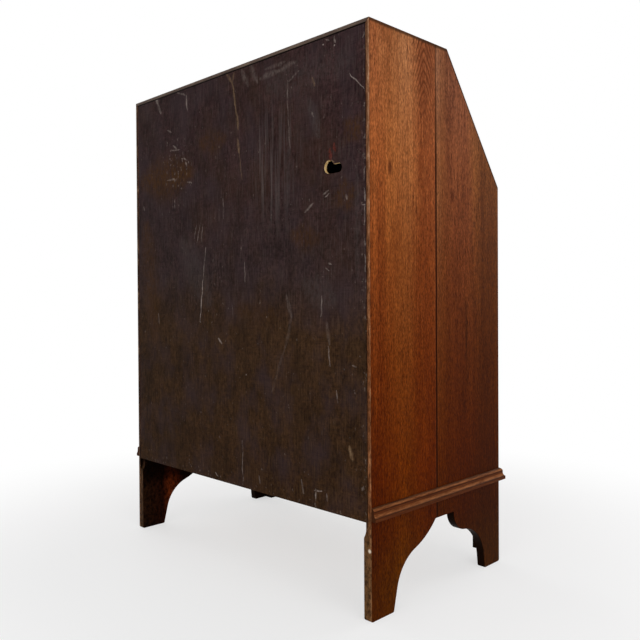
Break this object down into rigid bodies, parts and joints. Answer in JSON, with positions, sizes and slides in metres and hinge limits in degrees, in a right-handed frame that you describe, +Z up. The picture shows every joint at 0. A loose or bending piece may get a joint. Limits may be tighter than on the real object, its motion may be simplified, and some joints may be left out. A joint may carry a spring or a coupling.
{
  "type": "writing bureau",
  "caption": "Oak writing bureau on ogee bracket feet: sloping hinged fall with lopers, stationery fitting, graduated dovetailed drawers and a plywood back with a cable slot.",
  "frame": {"origin": "on the floor under the middle of the bureau's bounding box", "axes": "+Z up, the drawers face -Y, +X to the right of a person sitting at it"},
  "size_m": [0.782, 0.436, 1.048],
  "materials": {
    "stained_oak": "satin stained oak",
    "red_oak": "satin stained oak, redder",
    "dark_plywood": "dark stained, scuffed",
    "inner_oak": "satin",
    "drawer_lining": "bare planed wood",
    "carcase_softwood": "bare sawn wood",
    "brass": "aged",
    "steel": "dull"
  },
  "bodies": {
    "carcase": {"gable_left_rear_board": "stained_oak", "gable_left_front_board": "red_oak", "gable_right_rear_board": "stained_oak", "gable_right_front_board": "red_oak", "top_board": "stained_oak", "back_panel": "dark_plywood", "desk_board": "inner_oak", "bottom_board": "stained_oak", "drawer_rails": "stained_oak", "drawer_runners": "carcase_softwood", "drawer_stops": "carcase_softwood", "loper_partitions": "stained_oak", "front_apron": "stained_oak", "glue_blocks": "carcase_softwood", "base_moulding_front": "stained_oak", "base_moulding_left": "stained_oak", "base_moulding_right": "stained_oak", "fall_stop": "inner_oak", "stationery_shelf": "inner_oak", "tray_partitions": "inner_oak", "pigeonhole_dividers": "inner_oak", "hinge_desk_leaves": "brass", "hinge_pins": "brass"},
    "fall": {"fall_panel": "stained_oak", "fall_cleats": "stained_oak", "hinge_fall_leaves": "brass", "fall_lock_case": "brass", "fall_escutcheon": "brass"},
    "lock_bolt": {"fall_lock_bolt": "steel"},
    "key": {"fall_key": "steel"},
    "tray": {"tray_front": "inner_oak", "tray_sides": "drawer_lining", "tray_back": "drawer_lining", "tray_floor": "drawer_lining", "tray_knob": "brass"},
    "loper_left": {"loper_left": "stained_oak", "loper_left_knob": "brass"},
    "loper_right": {"loper_right": "stained_oak", "loper_right_knob": "brass"},
    "drawer_bottom": {"drawer_bottom_front": "stained_oak", "drawer_bottom_sides": "drawer_lining", "drawer_bottom_back": "drawer_lining", "drawer_bottom_floor": "drawer_lining", "drawer_bottom_handle_plates": "brass"},
    "drawer_bottom_bail_left": {"drawer_bottom_bail_left": "brass"},
    "drawer_bottom_bail_right": {"drawer_bottom_bail_right": "brass"},
    "drawer_middle": {"drawer_middle_front": "stained_oak", "drawer_middle_sides": "drawer_lining", "drawer_middle_back": "drawer_lining", "drawer_middle_floor": "drawer_lining", "drawer_middle_handle_plates": "brass"},
    "drawer_middle_bail_left": {"drawer_middle_bail_left": "brass"},
    "drawer_middle_bail_right": {"drawer_middle_bail_right": "brass"},
    "drawer_top": {"drawer_top_front": "stained_oak", "drawer_top_sides": "drawer_lining", "drawer_top_back": "drawer_lining", "drawer_top_floor": "drawer_lining", "drawer_top_handle_plates": "brass"},
    "drawer_top_bail_left": {"drawer_top_bail_left": "brass"},
    "drawer_top_bail_right": {"drawer_top_bail_right": "brass"}
  },
  "joints": [
    {"name": "fall_hinge", "type": "hinge", "parent": "carcase", "child": "fall", "pos_m": [0, -0.19189, 0.776], "axis": [1, 0, 0], "range_deg": [0, 126.5]},
    {"name": "key_turn", "type": "hinge", "parent": "fall", "child": "key", "pos_m": [0, -0.0228, 1.0045], "axis": [0, -0.8038, 0.5948], "range_deg": [0, 90]},
    {"name": "bolt_slide", "type": "slide", "parent": "fall", "child": "lock_bolt", "axis": [0, 0.5948, 0.8038], "range_m": [0, 0.008]},
    {"name": "tray_slide", "type": "slide", "parent": "carcase", "child": "tray", "axis": [0, -1, 0], "range_m": [0, 0.12]},
    {"name": "loper_left_slide", "type": "slide", "parent": "carcase", "child": "loper_left", "axis": [0, -1, 0], "range_m": [0, 0.25]},
    {"name": "loper_right_slide", "type": "slide", "parent": "carcase", "child": "loper_right", "axis": [0, -1, 0], "range_m": [0, 0.25]},
    {"name": "drawer_bottom_slide", "type": "slide", "parent": "carcase", "child": "drawer_bottom", "axis": [0, -1, 0], "range_m": [0, 0.25]},
    {"name": "drawer_bottom_bail_left_swing", "type": "hinge", "parent": "drawer_bottom", "child": "drawer_bottom_bail_left", "pos_m": [-0.2052, -0.213, 0.30925], "axis": [-1, 0, 0], "range_deg": [0, 95]},
    {"name": "drawer_bottom_bail_right_swing", "type": "hinge", "parent": "drawer_bottom", "child": "drawer_bottom_bail_right", "pos_m": [0.2052, -0.213, 0.30925], "axis": [-1, 0, 0], "range_deg": [0, 95]},
    {"name": "drawer_middle_slide", "type": "slide", "parent": "carcase", "child": "drawer_middle", "axis": [0, -1, 0], "range_m": [0, 0.25]},
    {"name": "drawer_middle_bail_left_swing", "type": "hinge", "parent": "drawer_middle", "child": "drawer_middle_bail_left", "pos_m": [-0.2052, -0.213, 0.52275], "axis": [-1, 0, 0], "range_deg": [0, 95]},
    {"name": "drawer_middle_bail_right_swing", "type": "hinge", "parent": "drawer_middle", "child": "drawer_middle_bail_right", "pos_m": [0.2052, -0.213, 0.52275], "axis": [-1, 0, 0], "range_deg": [0, 95]},
    {"name": "drawer_top_slide", "type": "slide", "parent": "carcase", "child": "drawer_top", "axis": [0, -1, 0], "range_m": [0, 0.25]},
    {"name": "drawer_top_bail_left_swing", "type": "hinge", "parent": "drawer_top", "child": "drawer_top_bail_left", "pos_m": [-0.2052, -0.213, 0.69875], "axis": [-1, 0, 0], "range_deg": [0, 95]},
    {"name": "drawer_top_bail_right_swing", "type": "hinge", "parent": "drawer_top", "child": "drawer_top_bail_right", "pos_m": [0.2052, -0.213, 0.69875], "axis": [-1, 0, 0], "range_deg": [0, 95]}
  ],
  "couplings": [
    {"joint": "bolt_slide", "follows": "key_turn", "m_per_rad": 0.00509}
  ]
}
